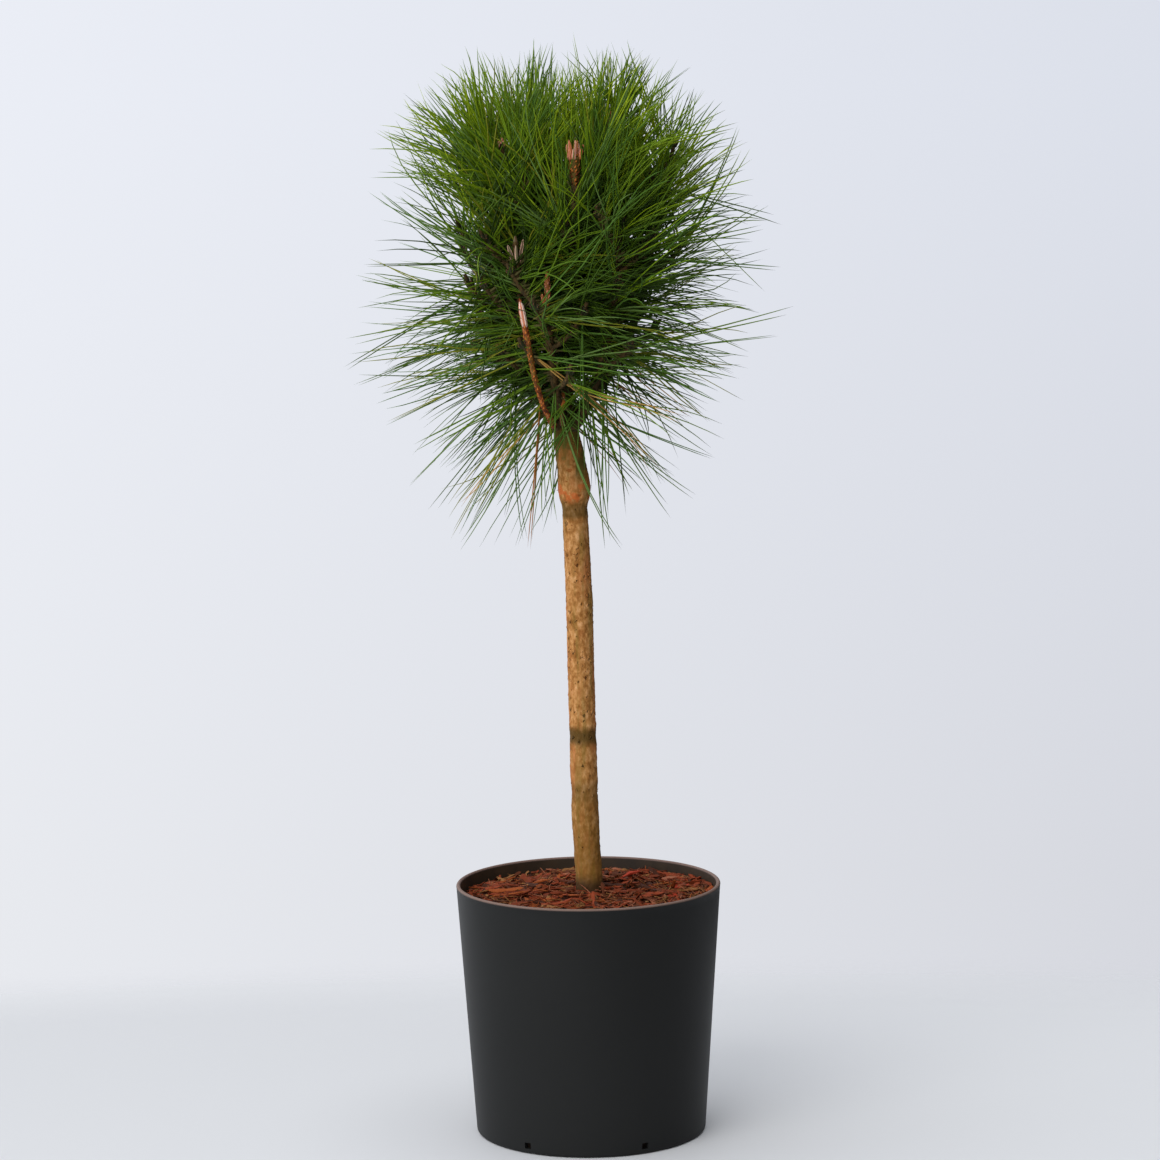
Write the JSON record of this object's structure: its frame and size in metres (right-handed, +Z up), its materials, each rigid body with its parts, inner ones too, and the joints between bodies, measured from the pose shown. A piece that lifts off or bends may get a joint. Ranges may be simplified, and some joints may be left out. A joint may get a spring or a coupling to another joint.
{
  "type": "potted dwarf pine",
  "caption": "Dwarf pine grown as a small standard: a round head of long soft needles on a clear straight stem, in a plain round tapered pot topped with bark mulch.",
  "frame": {"origin": "middle of the pot's flat underside, on the pot's axis", "axes": "+Z up the stem, -Y towards the front of the picture, +X to its right"},
  "size_m": [0.3038, 0.3008, 0.7781],
  "materials": {
    "pot_plastic": "matt dark grey plastic",
    "potting_mix": "loose moist mix",
    "bark_mulch": "rough reddish bark chips",
    "stem_bark": "thin tan bark, olive near the foot",
    "shoot_bark": "scaly reddish brown bark",
    "needles": "satin green needles"
  },
  "bodies": {
    "root": {"pot": "pot_plastic", "potting_mix": "potting_mix", "bark_mulch": "bark_mulch", "stem": "stem_bark", "bough_front": "shoot_bark", "bough_front_left": "shoot_bark", "bough_front_right": "shoot_bark", "bough_right": "shoot_bark", "bough_back_right": "shoot_bark", "bough_back": "shoot_bark", "bough_back_left": "shoot_bark", "bough_left": "shoot_bark", "bough_front_middle": "shoot_bark", "bough_upper_left": "shoot_bark", "bough_upper_right": "shoot_bark", "bough_upper_back": "shoot_bark", "foliage_front": "needles", "foliage_front_left": "needles", "foliage_front_right": "needles", "foliage_right": "needles", "foliage_back_right": "needles", "foliage_back": "needles", "foliage_back_left": "needles", "foliage_left": "needles", "foliage_front_middle": "needles", "foliage_upper_left": "needles", "foliage_upper_right": "needles", "foliage_upper_back": "needles"}
  },
  "joints": []
}
